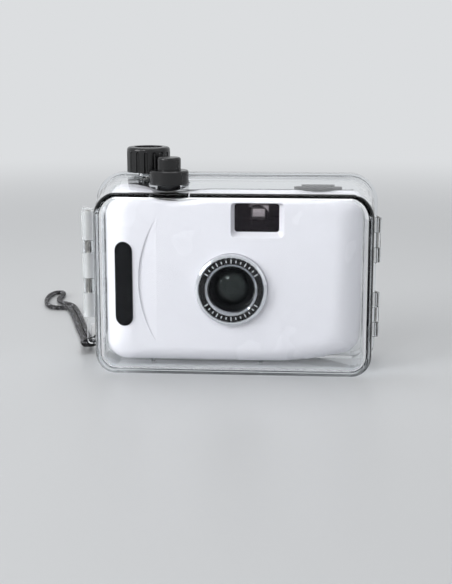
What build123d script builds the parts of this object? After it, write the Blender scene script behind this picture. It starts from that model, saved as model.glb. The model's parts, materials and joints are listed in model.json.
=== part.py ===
from build123d import *
import math
import os

# Underwater film camera: a small 35 mm film camera in a clear two-part waterproof housing.
# Sizes are in millimetres. X runs across the front, with the winding side at -X.
# Y runs from the lens side (-Y) to the back (+Y), and Z is up.
# The origin is the middle of the housing's resting face.

# Film camera, overall
camera_width = 113.4
camera_height = 72.6
camera_depth = 35.0

# Housing
side_gap = 1.5
bottom_gap = 2.2
top_gap = 4.0
back_gap = 2.7
window_gap = 0.5
housing_wall = 2.8
window_thickness = 2.5
back_shell_depth = 15.0
housing_top_corner = 11.0
housing_bottom_corner = 9.0
housing_edge = 4.5
housing_draft = 1.2
top_slope_radius = 85.0
flange_proud = 1.4
flange_top_proud = 1.2
flange_thickness = 2.5
parting_gap = 0.2
seal_width = 1.6
seal_depth = 1.5

# Housing hinge, at +X
hinge_radius = 1.5
hinge_pin_radius = 0.6
hinge_out = 1.9
hinge_behind = 1.3
hinge_groups = ((12.0, 32.0), (46.0, 66.0))
hinge_gap = 0.3

# Side latch, at -X
latch_out = 5.1
latch_forward = 5.0
barrel_radius = 3.2
latch_pin_radius = 1.2
latch_low = 20.4
latch_high = 68.5
latch_blocks = ((31.8, 38.1), (50.1, 55.4))
latch_gap = 0.3
block_radius = 2.8
lever_thickness = 2.2

# Lens and front cover
lens_x = -0.6
lens_up = 32.8
bezel_radius = 15.6
bezel_proud = 2.8
ring_outer = 13.9
ring_inner = 10.5
lens_radius = 7.2
lens_rise = 2.2
cover_round = 13.2
side_round = 13.0
top_round = 3.0
bottom_round = 6.8
cover_wall = 1.9

# Viewfinder
viewfinder_x = 10.1
viewfinder_down = 9.0
viewfinder_width = 19.2
viewfinder_height = 12.4
funnel_depth = 3.4
eyepiece_half_width = 4.4
eyepiece_half_height = 3.1

# Film path
gate_width = 36.0
gate_height = 24.0
film_back = 4.3
cartridge_in = 20.6
cartridge_radius = 13.0
cartridge_y = 1.4
chamber_height = 47.8
winding_in = 17.9
winding_y = 4.6
take_up_radius = 10.6
spool_radius = 6.0
sprocket_radius = 4.5
sprocket_teeth = 6
gear_module = 0.45
spool_gear_teeth = 24
idler_gear_teeth = 16
sprocket_gear_teeth = 18
mesh_slack = 0.15

# Controls
knob_radius = 9.5
knob_height = 11.0
knob_ribs = 16
winding_shaft_radius = 2.0
release_x = -28.0
release_y = -10.1
collar_radius = 8.4
collar_height = 5.8
cap_radius = 5.1
cap_height = 7.2
plunger_radius = 1.5
release_travel = 2.4
release_radius = 4.0
rewind_radius = 10.45
rewind_bar = 7.2
dial_radius = 7.0
dial_teeth = 40
running_clearance = 0.08

# Wrist strap
string_radius = 0.5
strap_radius = 1.4
crimp_length = 9.0

# The camera's own back
door_knuckle = 1.6
door_pin_radius = 0.6
door_lugs = ((17.0, 25.0), (46.0, 54.0))

# Camera edges
camera_half = camera_width / 2
camera_bottom = housing_wall + bottom_gap
camera_top = camera_bottom + camera_height

# Housing edges
housing_half = camera_half + side_gap + housing_wall
housing_top = camera_top + top_gap + housing_wall
housing_depth = window_thickness + window_gap + bezel_proud + camera_depth + back_gap + window_thickness
housing_front = -housing_depth / 2
housing_back = housing_depth / 2
parting = housing_back - back_shell_depth
inside_top = housing_top - housing_wall

# Places in the camera, from front to back
face = housing_front + window_thickness + window_gap + bezel_proud
cover_back = face + 20.0
camera_back_face = face + camera_depth
film_plane = camera_back_face - film_back
body_back = camera_back_face - 3.4
door_front = body_back + 0.2

# Places in the camera, across and up
lens_z = camera_bottom + lens_up
viewfinder_z = camera_top - viewfinder_down
cartridge_x = camera_half - cartridge_in
winding_x = winding_in - camera_half
chamber_low = lens_z - chamber_height / 2
chamber_high = lens_z + chamber_height / 2
gear_floor = chamber_low - 5.3
gear_low = gear_floor + 0.6
gear_high = gear_low + 2.2
bay_floor = camera_top - 8.1
bay_roof = camera_top - 2.2
body_top = camera_top - 0.2
door_top = chamber_high + 1.7
sprocket_x = winding_x + 13.0
sprocket_y = film_plane - sprocket_radius
dial_x = winding_x + 16.6
dial_y = winding_y + 1.2
finger_reach = math.hypot(dial_x - winding_x, dial_y - winding_y) - dial_radius - 0.12
door_pin_x = camera_half - 2.1
door_pin_y = camera_back_face - 1.6

# Places on the housing
hinge_x = housing_half + hinge_out
hinge_y = parting + hinge_behind
latch_x = -housing_half - latch_out
latch_y = parting - latch_forward
lug_x = -housing_half - 3.5
lug_y = latch_y + 1.0
knob_seat = housing_top + 1.5
knob_low = knob_seat + 0.2
release_seat = housing_top - 2.0
spigot_low = release_seat - 3.5

# Heights of the controls
wheel_low = camera_top + 0.3
wheel_high = camera_top + 2.6
wheel_slot = wheel_high - 1.9
rewind_low = camera_top + 0.7
cap_low = release_seat + 1.6 + release_travel + 0.2
cap_high = cap_low + cap_height
cap_roof = cap_high - 1.8
plunger_tip = spigot_low - 1.3
release_stop = camera_top - 11.6

# Depths behind the lens
cup_front = face - bezel_proud + 1.7
board_front = face + 3.8
board_back = board_front + 2.2
shutter_wall = board_back + 2.0
blade_x = lens_x - 6.4
blade_z = lens_z + 4.6
eyepiece_z = viewfinder_z - 0.2

# The grip insert, on the rounded left of the cover
grip_x = -camera_half + 9.4
grip_y = face + 1.15
grip_z = lens_z + 1.6
grip_turn = -17.0
grip_length = 37.0
grip_width = 8.0


def box(x0, x1, y0, y1, z0, z1):
    """A block between two corners."""
    middle = Pos((x0 + x1) / 2, (y0 + y1) / 2, (z0 + z1) / 2)
    return middle * Box(x1 - x0, y1 - y0, z1 - z0)


def post(x, y, radius, z0, z1):
    """A round bar standing along Z."""
    return Pos(x, y, (z0 + z1) / 2) * Cylinder(radius, z1 - z0)


def disc(x, z, radius, y0, y1):
    """A round bar lying along Y."""
    return Pos(x, (y0 + y1) / 2, z) * Rot(90, 0, 0) * Cylinder(radius, y1 - y0)


def slab(sketch, y0, y1):
    """A sketch of the front view, as thick as from y0 to y1."""
    return extrude(Plane.XZ.offset(-y1) * sketch, y1 - y0)


def turned(profile, x, z):
    """A profile of (radius, y) points, turned about an axis along Y."""
    face_2d = make_face(Polyline([(radius, y) for radius, y in profile], close=True))
    return Pos(x, 0, z) * revolve(face_2d, Axis.Y)


def nearest(shape, x, y):
    """The vertex of a sketch that is nearest to a point."""
    return min(shape.vertices(), key=lambda v: (v.X - x) ** 2 + (v.Y - y) ** 2)


def rounded(half, low, high, low_radius, high_radius):
    """A rectangle of the front view with rounded corners."""
    sketch = make_face(Polyline([(-half, low), (half, low), (half, high), (-half, high)], close=True))
    for side in (-1, 1):
        sketch = fillet(nearest(sketch, side * half, low), low_radius)
        sketch = fillet(nearest(sketch, side * half, high), high_radius)
    return sketch


def camera_outline(side=0.0, top=0.0, bottom=0.0):
    """The camera's outline from the front, moved inwards at its sides, top and bottom."""
    left = -camera_half + side
    right_low = camera_half - 1.5 - side
    right_high = camera_half + 0.2 - side
    low = camera_bottom + bottom
    high = camera_top - top
    grip_high = high + 1.7
    rise_start = (camera_half - 38.0 - side, low)
    rise_end = (camera_half - 9.5 - side, low + 3.4)
    dip = (release_x, high - 1.1)
    flat_start = (release_x + 19.0, high)
    grip_start = (release_x - 17.0 + 0.55 * side, grip_high)
    rise = TangentArc(rise_start, rise_end, tangent=(1, 0))
    way = rise % 1
    corner_x = right_low
    corner = (corner_x, rise_end[1] + way.Y / way.X * (corner_x - rise_end[0]))
    edges = [
        Line((left, low), rise_start),
        rise,
        Line(rise_end, corner),
        Line(corner, (right_high, high)),
        Line((right_high, high), flat_start),
        Spline(flat_start, dip, grip_start, tangents=[(-1, 0), (-1, 0.05)]),
        Line(grip_start, (left, grip_high)),
        Line((left, grip_high), (left, low)),
    ]
    sketch = make_face(edges)
    sketch = fillet(nearest(sketch, left, low), 7.5)
    sketch = fillet(nearest(sketch, *corner), 6.5)
    sketch = fillet(nearest(sketch, right_high, high), 6.0)
    return fillet(nearest(sketch, left, grip_high), 8.5 - 0.3 * side)


def deep_edges(block, half, low, high):
    """The long edges that run from front to back along the sides, between two heights."""
    edges = [e for e in block.edges() if e.bounding_box().size.Y > housing_depth / 3]
    return [e for e in edges if low <= e.center().Z <= high and abs(e.center().X) > half - 2.0]


def front_block(inset, front_inset):
    """The housing's front half as a solid, moved inwards by its wall."""
    half = housing_half - inset
    front = housing_front + front_inset
    low = inset
    plan = Polyline(
        [(-half + housing_draft, front), (half - housing_draft, front), (half, parting), (-half, parting)],
        close=True,
    )
    centre = housing_top - top_slope_radius
    radius = top_slope_radius - inset

    def roof(y):
        return centre + math.sqrt(radius**2 - (y - parting) ** 2)

    halfway = (parting + front) / 2
    side = [
        Line((front, low), (parting, low)),
        Line((parting, low), (parting, roof(parting))),
        ThreePointArc((parting, roof(parting)), (halfway, roof(halfway)), (front, roof(front))),
        Line((front, roof(front)), (front, low)),
    ]
    tall = Pos(0, 0, low) * extrude(make_face(plan), housing_top)
    wide = extrude(Plane.YZ.offset(-housing_half) * make_face(side), 2 * housing_half)
    block = tall & wide
    block = fillet(deep_edges(block, half, housing_top / 2, housing_top), housing_top_corner - inset)
    block = fillet(deep_edges(block, half, 0, housing_top / 4), housing_bottom_corner - inset)
    rim = block.faces().sort_by(Axis.Y)[0].edges()
    return fillet(rim, housing_edge - inset * 0.8)


def back_block(inset, back_inset):
    """The housing's back half as a solid, moved inwards by its wall."""
    start = parting + parting_gap
    end = housing_back - back_inset
    outline = rounded(
        housing_half - inset, inset, housing_top - inset,
        housing_bottom_corner - inset, housing_top_corner - inset,
    )
    block = slab(outline, start, end)
    rim = block.faces().sort_by(Axis.Y)[-1].edges()
    return fillet(rim, housing_edge - inset * 0.8)


def flange_outline():
    return rounded(
        housing_half + flange_proud, 0, housing_top + flange_top_proud,
        housing_bottom_corner + 0.6, housing_top_corner + flange_proud,
    )


def seal_outline(grow):
    """The middle of the seal's path, made larger or smaller."""
    return rounded(
        housing_half - 0.95 + grow, 1.5 - grow, housing_top - 0.95 + grow,
        housing_bottom_corner - 0.95 + grow, housing_top_corner - 0.95 + grow,
    )


def knuckle_spans(low, high):
    """Three spans of one hinge group, from the bottom up: front shell, back shell, front shell."""
    each = (high - low - 2 * hinge_gap) / 3
    return [(low + i * (each + hinge_gap), low + i * (each + hinge_gap) + each) for i in range(3)]


def front_knuckle(z0, z1):
    """A barrel with an arm that runs forward into the front shell's flange."""
    arm = make_face(Polyline([
        (housing_half - 0.1, parting - flange_thickness),
        (hinge_x - 0.6, parting - flange_thickness),
        (hinge_x + hinge_radius, parting - 0.4),
        (hinge_x + hinge_radius, hinge_y),
        (hinge_x, hinge_y),
        (hinge_x - hinge_radius + 0.1, parting),
        (housing_half - 0.1, parting),
    ], close=True))
    return post(hinge_x, hinge_y, hinge_radius, z0, z1) + Pos(0, 0, z0) * extrude(arm, z1 - z0)


def back_knuckle(z0, z1):
    """A barrel with an arm that runs straight into the back shell's flange."""
    arm = box(housing_half, hinge_x, hinge_y - 0.8, hinge_y + hinge_radius - 0.2, z0, z1)
    return post(hinge_x, hinge_y, hinge_radius, z0, z1) + arm


def shell_bosses():
    """Seats on the housing's top for the winding shaft and the outside release."""
    winding = post(winding_x, winding_y, 6.5, inside_top - 0.4, knob_seat)
    winding -= box(-housing_half, housing_half, parting, 2 * parting, 0, 2 * housing_top)
    release = post(release_x, release_y, collar_radius + 0.5, release_seat - 2.6, release_seat)
    return winding + release + post(release_x, release_y, 6.2, release_seat - 3.4, release_seat)


def lug():
    """The lanyard lug: a flat loop on the side below the latch."""
    x0, x1 = lug_x - 3.1, -housing_half + 0.5
    y0, y1 = lug_y - 1.5, lug_y + 1.5
    loop = box(x0, x1, y0, y1, 7.6, 19.8)
    loop = fillet(loop.edges().filter_by(Axis.Y).sort_by(Axis.X)[:2], 1.6)
    return loop - box(x0 + 1.7, x0 + 4.4, y0 - 1, y1 + 1, 9.5, 16.6)


def housing_front_shell():
    shell = front_block(0, 0)
    shell += slab(flange_outline(), parting - flange_thickness, parting)
    shell += shell_bosses()
    room = front_block(housing_wall, window_thickness)
    room -= post(winding_x, winding_y, 5.2, inside_top - 0.4, housing_top)
    room -= post(release_x, release_y, 6.2, release_seat - 3.4, housing_top)
    shell -= room
    shell -= post(release_x, release_y, collar_radius + 0.5, release_seat, housing_top + 2)
    shell -= post(release_x, release_y, 3.55, spigot_low - 1, release_seat + 1)
    shaft_hole = winding_shaft_radius + running_clearance
    shell -= post(winding_x, winding_y, shaft_hole, inside_top - 2, knob_seat + 1)
    shell -= post(winding_x, winding_y, 3.2, knob_seat - 1.7, knob_seat + 1)
    for low, high in hinge_groups:
        spans = knuckle_spans(low, high)
        shell -= post(hinge_x, hinge_y, hinge_radius + 0.2, spans[1][0] - hinge_gap, spans[1][1] + hinge_gap)
        shell += front_knuckle(*spans[0]) + front_knuckle(*spans[2])
        shell -= post(hinge_x, hinge_y, hinge_pin_radius, low - 1, high + 1)
    for low, high in latch_blocks:
        arm = box(latch_x, -housing_half + 0.6, latch_y - 2.6, latch_y + 2.4, low, high)
        shell += arm + post(latch_x, latch_y, block_radius, low, high)
    shell -= post(latch_x, latch_y, latch_pin_radius, latch_low, latch_high)
    shell += lug()
    for x in (-36.0, 12.0):
        shell += box(x - 0.8, x + 0.8, face + 9, cover_back, housing_wall - 0.2, camera_bottom)
    return shell


def housing_back_shell():
    shell = back_block(0, 0)
    shell += slab(flange_outline(), parting + parting_gap, parting + parting_gap + flange_thickness)
    shell -= back_block(housing_wall, window_thickness)
    groove = seal_outline(seal_width / 2 + 0.05) - seal_outline(-seal_width / 2 - 0.05)
    shell -= slab(groove, parting - 1, parting + parting_gap + seal_depth - 0.15)
    for low, high in hinge_groups:
        spans = knuckle_spans(low, high)
        for z0, z1 in (spans[0], spans[2]):
            shell -= post(hinge_x, hinge_y, hinge_radius + 0.2, z0 - hinge_gap, z1 + hinge_gap)
        shell += back_knuckle(*spans[1])
        shell -= post(hinge_x, hinge_y, hinge_pin_radius + running_clearance, low - 1, high + 1)
    keeper = (-housing_half - 3.8, -housing_half, parting + parting_gap, parting + 2.9)
    shell += box(*keeper, latch_low + 5, latch_high - 5)
    for x in (-30.0, 30.0):
        shell += box(x - 0.8, x + 0.8, camera_back_face + 0.4, housing_back - 1, 20, 58)
    return shell


def housing_gasket():
    ring = seal_outline(seal_width / 2) - seal_outline(-seal_width / 2)
    return slab(ring, parting + 0.05, parting + parting_gap + seal_depth - 0.15)


def hinge_pins():
    return [post(hinge_x, hinge_y, hinge_pin_radius, low - 0.4, high + 0.4) for low, high in hinge_groups]


def latch_lever():
    """Barrel segments, a plate behind them with a hook along its end, and a flared thumb tab."""
    out = latch_x - 1.5
    plate_in = out + lever_thickness
    hook_front = parting + 3.2
    hook_back = hook_front + lever_thickness
    hook_tip = -housing_half - 2.2
    plate = make_face(Polyline([
        (out, latch_y), (plate_in, latch_y), (plate_in, hook_front), (hook_tip, hook_front),
        (hook_tip, hook_back - 0.6), (hook_tip - 0.6, hook_back), (plate_in + 0.4, hook_back),
        (out - 2.2, hook_back + 4.4), (out - 3.8, hook_back + 3.6), (out, hook_back - 1.4),
    ], close=True))
    lever = Pos(0, 0, latch_low) * extrude(plate, latch_high - latch_low)
    lever += post(latch_x, latch_y, barrel_radius, latch_low, latch_high)
    for low, high in latch_blocks:
        lever -= box(latch_x - 6, latch_x + 6, latch_y - 6, latch_y + 3.3, low - latch_gap, high + latch_gap)
    return lever - post(latch_x, latch_y, latch_pin_radius + running_clearance, latch_low - 1, latch_high + 1)


def latch_pin():
    return post(latch_x, latch_y, latch_pin_radius, latch_low - 0.3, latch_high + 0.3)


def winding_knob():
    """A tall knob with broad ribs between narrow grooves that end in rounded tops."""
    low, high = knob_low, knob_low + knob_height
    knob = post(winding_x, winding_y, knob_radius, low, high)
    knob = fillet(knob.edges().sort_by(Axis.Z)[-1], 1.4)
    groove = Cylinder(0.75, knob_height - 2.6, align=(Align.CENTER, Align.CENTER, Align.MIN))
    groove += Pos(0, 0, knob_height - 2.6) * Sphere(0.75)
    for place in PolarLocations(knob_radius + 0.15, knob_ribs):
        knob -= Pos(winding_x, winding_y, low - 0.01) * place * groove
    knob -= post(winding_x, winding_y, 6.2, high - 0.6, high + 1)
    return knob - post(winding_x, winding_y, winding_shaft_radius, low - 1, high - 2.2)


def winding_shaft():
    return post(winding_x, winding_y, winding_shaft_radius, inside_top - 1.2, knob_low + knob_height - 2.2)


def winding_dog():
    """The blade under the housing's top that turns the camera's wheel."""
    plate = post(winding_x, winding_y, 4.6, inside_top - 1.2, inside_top - 0.6)
    plate -= post(winding_x, winding_y, winding_shaft_radius, inside_top - 2, inside_top)
    blade = Pos(winding_x, winding_y) * box(-4.3, 4.3, -0.9, 0.9, wheel_slot + 0.2, inside_top - 1.2)
    return plate + blade


def winding_seal():
    return Pos(winding_x, winding_y, knob_seat - 1.1) * Torus(2.62, 0.52)


def shutter_collar():
    high = release_seat + collar_height
    collar = post(release_x, release_y, collar_radius, release_seat, high)
    collar = chamfer(collar.edges().sort_by(Axis.Z)[-1], 0.5)
    collar += post(release_x, release_y, 3.5, spigot_low, release_seat)
    collar -= post(release_x, release_y, cap_radius + 0.1, release_seat + 1.6, high + 1)
    collar -= post(release_x, release_y, plunger_radius + running_clearance, spigot_low - 1, high)
    return collar - post(release_x, release_y, 2.65, spigot_low + 1.2, spigot_low + 2.5)


def shutter_cap():
    cap = post(release_x, release_y, cap_radius, cap_low, cap_high)
    cap = fillet(cap.edges().sort_by(Axis.Z)[-1], 1.0)
    cap -= post(release_x, release_y, 4.2, cap_low - 1, cap_roof)
    return cap - post(release_x, release_y, plunger_radius, cap_roof - 1, cap_roof + 1.0)


def plunger_shaft():
    shaft = post(release_x, release_y, plunger_radius, plunger_tip, cap_roof + 1.0)
    groove = post(release_x, release_y, 2.5, spigot_low - 0.8, spigot_low - 0.2)
    return shaft - (groove - post(release_x, release_y, 1.05, spigot_low - 1, spigot_low))


def plunger_clip():
    """A split ring in the shaft's groove."""
    ring = post(release_x, release_y, 3.0, spigot_low - 0.8, spigot_low - 0.2)
    ring -= post(release_x, release_y, 1.05, spigot_low - 1, spigot_low)
    return ring - box(release_x - 0.9, release_x + 0.9, release_y, release_y + 4, spigot_low - 1, spigot_low)


def coil(x, y, radius, wire, z0, z1, turns):
    """A compression spring standing on z0 and ending at z1."""
    height = z1 - z0 - 2 * wire
    path = Pos(x, y, z0 + wire) * Helix(height / turns, height, radius)
    section = Plane(path @ 0, z_dir=path % 0) * Circle(wire)
    return sweep(section, path=path, is_frenet=True)


def plunger_spring():
    return coil(release_x, release_y, 2.9, 0.3, release_seat + 1.62, cap_roof - 0.02, 4)


def shutter_seal():
    return Pos(release_x, release_y, spigot_low + 1.85) * Torus(2.1, 0.52)


def pillow_insets():
    """How far the front cover's outline has moved in at steps towards its face: y, sides, top, bottom."""
    steps = (0.0, 0.38, 0.64, 0.83, 0.94, 0.985, 1.0)
    heights = [face + cover_round * (1 - step) for step in steps]
    return [(y, *insets_at(y)) for y in heights]


def insets_at(y):
    """The front cover's insets at one depth: sides, top, bottom."""
    roundings = ((side_round, cover_round), (top_round, top_round), (bottom_round, bottom_round))
    return [round_in(y, wide, deep) for wide, deep in roundings]


def round_in(y, wide, deep):
    """The inward step of an elliptic rounding that starts deep behind the face."""
    share = (face + deep - y) / deep
    if share <= 0:
        return 0.0
    return wide * (1 - math.sqrt(max(0.0, 1 - share**2)))


def cover_body():
    """The pillow-shaped outside of the front cover."""
    sections = [Plane.XZ.offset(-y) * camera_outline(*insets) for y, *insets in pillow_insets()]
    front = loft(sections)
    roof = Pos(0, parting, housing_top - top_slope_radius) * Rot(0, 90, 0)
    roof *= Cylinder(top_slope_radius - housing_wall - 0.35, 2 * camera_width)
    return (front + slab(camera_outline(), face + cover_round, cover_back)) & roof


def boss_places():
    """Screws at the four corners of the camera."""
    high = camera_top - 9.0
    low = camera_bottom + 8.6
    return [(side * (camera_half - 4.2), z) for side in (-1, 1) for z in (low, high)]


def grip_stadium(grow, depth):
    """A block with round ends on the cover's rounded left, turned to follow it."""
    shape = SlotOverall(grip_length + 2 * grow, grip_width + 2 * grow, rotation=90)
    return Pos(grip_x, grip_y, grip_z) * Rot(0, 0, grip_turn) * extrude(Plane.XZ * shape, depth, both=True)


def front_cover():
    cover = cover_body()
    for depth in (2.0, 3.7, 6.2, 9.2, cover_round):
        side, top, bottom = insets_at(face + depth)
        top += 0.03 * (cover_round - depth)
        room = camera_outline(side + cover_wall, top + cover_wall, bottom + cover_wall)
        cover -= slab(room, face + depth, cover_back + 1)
    cover += disc(lens_x, lens_z, bezel_radius + 1.6, face + 1.0, face + 4.0)
    half_w, half_h = viewfinder_width / 2, viewfinder_height / 2
    cover += box(
        viewfinder_x - half_w - 2, viewfinder_x + half_w + 2, face + 1.5, face + 4.8,
        viewfinder_z - half_h - 2, camera_top - 0.6,
    )
    inner_outline = camera_outline(0.3, 0.3, 0.3)
    for x, z in boss_places():
        cover += disc(x, z, 2.1, face + 9.0, cover_back) & slab(inner_outline, face, cover_back)
        cover -= disc(x, z, 0.9, cover_back - 7, cover_back + 1)
    cover -= disc(lens_x, lens_z, ring_outer + 0.7, face - 1, face + 5)
    cover -= disc(lens_x, lens_z, bezel_radius + 0.1, face - 1, face + 0.8)
    cover -= viewfinder_funnel()
    cover -= box(
        viewfinder_x - half_w - 0.8, viewfinder_x + half_w + 0.8, face + funnel_depth, face + 6,
        viewfinder_z - half_h - 0.8, viewfinder_z + half_h + 0.8,
    )
    cover -= grip_stadium(0.05, 1.3)
    cover -= post(release_x, release_y, release_radius + 0.15, camera_top - 6, camera_top + 3)
    cover -= post(winding_x, winding_y, 9.4, body_top, camera_top + 3)
    cover -= post(winding_x, winding_y, 4.2, chamber_high, camera_top + 3)
    cover -= post(cartridge_x, cartridge_y, 2.7, chamber_high, camera_top + 3)
    return cover - grip_valley()


def grip_valley():
    """A shallow hollow beside the grip, with one sharp curved edge that fades out at both ends."""
    arc_radius, start_x, deep = 50.8, -33.0, 0.9
    arc_x = -41.0 + arc_radius
    tool = disc(arc_x, lens_z + 3.2, arc_radius, face - 5, face + 5)
    tilt = math.degrees(math.atan2(deep, start_x + 41.0))
    plane_block = Pos(start_x, face, lens_z) * Rot(0, 0, -tilt) * box(-60, 60, -10, 0, -60, 60)
    return tool & plane_block & box(-60, start_x, face - 5, face + 5, 0, camera_top)


def viewfinder_funnel():
    """A rectangular funnel that narrows to the window."""
    outer = RectangleRounded(viewfinder_width + 3.7, viewfinder_height + 2.8, 2.0)
    outer = Pos(viewfinder_x + 0.35, viewfinder_z - 0.8) * outer
    inner = Pos(viewfinder_x, viewfinder_z) * RectangleRounded(viewfinder_width, viewfinder_height, 1.3)
    lower, upper = Plane.XZ.offset(-face - funnel_depth), Plane.XZ.offset(-face)
    funnel = loft([lower * inner, upper * outer])
    return funnel + slab(inner, face + funnel_depth - 0.01, face + 6) + slab(outer, face - 1, face)


def grip_insert():
    insert = grip_stadium(0, 1.25)
    rim = insert.faces().sort_by(Axis.Y)[0].edges()
    return chamfer(rim, 0.45)


def lens_bezel():
    front = face - bezel_proud
    return turned([
        (ring_outer + 0.05, front + 0.35), (ring_outer + 0.4, front),
        (bezel_radius - 0.9, front), (bezel_radius - 0.25, front + 0.35),
        (bezel_radius, front + 1.0), (bezel_radius, face + 0.8), (ring_outer + 0.65, face + 0.8),
        (ring_outer + 0.65, face + 3.0), (ring_outer + 0.05, face + 3.0),
    ], lens_x, lens_z)


def lens_ring():
    front = face - bezel_proud + 0.5
    return turned([
        (ring_inner, front + 0.8), (ring_inner + 0.8, front + 0.1), (ring_outer, front),
        (ring_outer, front + 1.2), (ring_inner, front + 1.2),
    ], lens_x, lens_z)


def lens_cup():
    """The flared cup between the ring and the front lens."""
    return turned([
        (ring_outer, cup_front), (ring_outer, cup_front + 1.0), (ring_inner + 1.0, cup_front + 1.0),
        (lens_radius + 1.6, board_front), (lens_radius + 0.1, board_front),
        (lens_radius + 0.1, board_front - 1.0),
        (ring_inner - 0.1, cup_front),
    ], lens_x, lens_z)


def front_lens():
    """A lens with a domed front, seated in the board."""
    top = board_front - 0.6 - lens_rise
    dome = (lens_radius**2 + lens_rise**2) / (2 * lens_rise)
    ball = Pos(lens_x, top + dome, lens_z) * Rot(90, 0, 0) * Sphere(dome)
    return ball & disc(lens_x, lens_z, lens_radius, top - 1, board_front)


def lens_board():
    """The plate that carries the front lens, with the aperture and three posts."""
    board = disc(lens_x, lens_z, 13.6, board_front, board_back)
    board -= disc(lens_x, lens_z, 2.4, board_front - 1, board_back + 1)
    for angle in (90, 235, 340):
        x = lens_x + 11.6 * math.cos(math.radians(angle))
        z = lens_z + 11.6 * math.sin(math.radians(angle))
        board += disc(x, z, 1.6, board_back, shutter_wall)
    return board - disc(blade_x, blade_z, 1.05, board_back - 1.2, board_back + 1)


def shutter_blade():
    """One thin blade on a pin, with a paddle over the aperture."""
    y0, y1 = board_back + 0.7, board_back + 1.1
    reach = make_face(Polyline([
        (blade_x - 1.2, blade_z - 1.6), (blade_x + 1.4, blade_z + 1.6),
        (lens_x + 1.4, lens_z + 3.4), (lens_x - 2.4, lens_z - 2.6),
    ], close=True))
    blade = disc(blade_x, blade_z, 2.0, y0, y1) + slab(reach, y0, y1) + disc(lens_x, lens_z, 3.7, y0, y1)
    return blade - disc(blade_x, blade_z, 1.0 + running_clearance, y0 - 1, y1 + 1)


def shutter_pin():
    return disc(blade_x, blade_z, 1.0, board_back - 1.0, shutter_wall)


def rear_lens():
    hole = disc(lens_x, lens_z, 4.0, shutter_wall, shutter_wall + 1.6)
    return chamfer(hole.edges().sort_by(Axis.Y)[-1], 0.4)


def viewfinder_window():
    half_w, half_h = viewfinder_width / 2 + 0.75, viewfinder_height / 2 + 0.75
    y = face + funnel_depth
    plate = Pos(viewfinder_x, y, viewfinder_z) * box(-half_w, half_w, 0, 1.4, -half_h, half_h)
    return plate - Pos(viewfinder_x, y - 22.0 + 0.7, viewfinder_z) * Sphere(22.0)


def viewfinder_tube():
    """A tapered sight tube between the window and the body."""
    def shell(grow):
        front = Plane.XZ.offset(-face - 4.8) * Pos(viewfinder_x, viewfinder_z) * Rectangle(
            viewfinder_width - 0.4 + 2 * grow, viewfinder_height - 0.4 + 2 * grow)
        back = Plane.XZ.offset(-cover_back) * Pos(viewfinder_x, eyepiece_z) * Rectangle(
            2 * (eyepiece_half_width + grow), 2 * (eyepiece_half_height + grow))
        return loft([front, back])
    return shell(0.9) - shell(0)


def viewfinder_eyepiece():
    y = camera_back_face - 2.4
    half_w, half_h = eyepiece_half_width + 0.5, eyepiece_half_height + 0.4
    plate = Pos(viewfinder_x, y, eyepiece_z) * box(-half_w, half_w, 0, 1.8, -half_h, half_h)
    return plate - Pos(viewfinder_x, y + 1.8 + 30.0 - 0.4, eyepiece_z) * Sphere(30.0)


def film_body():
    """The black chassis: back frame, chamber tubes, light cone, rails, gear floor and counter bay."""
    body = slab(camera_outline(), cover_back, body_back)
    above_door = Pos(0, camera_top) * Rectangle(2 * camera_width, 2 * (camera_top - door_top - 0.2))
    body += slab(camera_outline() & above_door, body_back - 0.5, camera_back_face)
    body += slab(camera_outline(2.1, 2.1, 2.1) - camera_outline(3.6, 3.6, 3.6), cover_back - 2.0, cover_back)
    body += post(cartridge_x, cartridge_y, cartridge_radius + 1.4, chamber_low - 1.6, chamber_high + 1.6)
    body += post(winding_x, winding_y, take_up_radius + 1.4, chamber_low - 1.6, chamber_high + 1.6)
    body += box(lens_x - 21.4, lens_x + 21.4, shutter_wall, cover_back + 1, lens_z - 15.4, lens_z + 15.4)
    start = cover_back + 1
    body += box(winding_x - 8.0, sprocket_x + 10, winding_y - 8.2, start, gear_floor - 1.6, gear_floor)
    body += box(release_x - 5, release_x + 5, release_y - 4.2, start, release_stop - 2.0, release_stop)
    body -= box(-200, 200, body_back, camera_back_face + 5, 0, door_top)
    body -= box(-200, 200, face, camera_back_face + 5, body_top, camera_top + 5)
    return body - film_cavities() + back_lugs() + dial_post()


def film_chamber(x, y, radius):
    """A round chamber that is open to the back."""
    mouth = box(x - radius, x + radius, y, body_back + 1, chamber_low, chamber_high)
    return post(x, y, radius, chamber_low, chamber_high) + mouth


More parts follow.
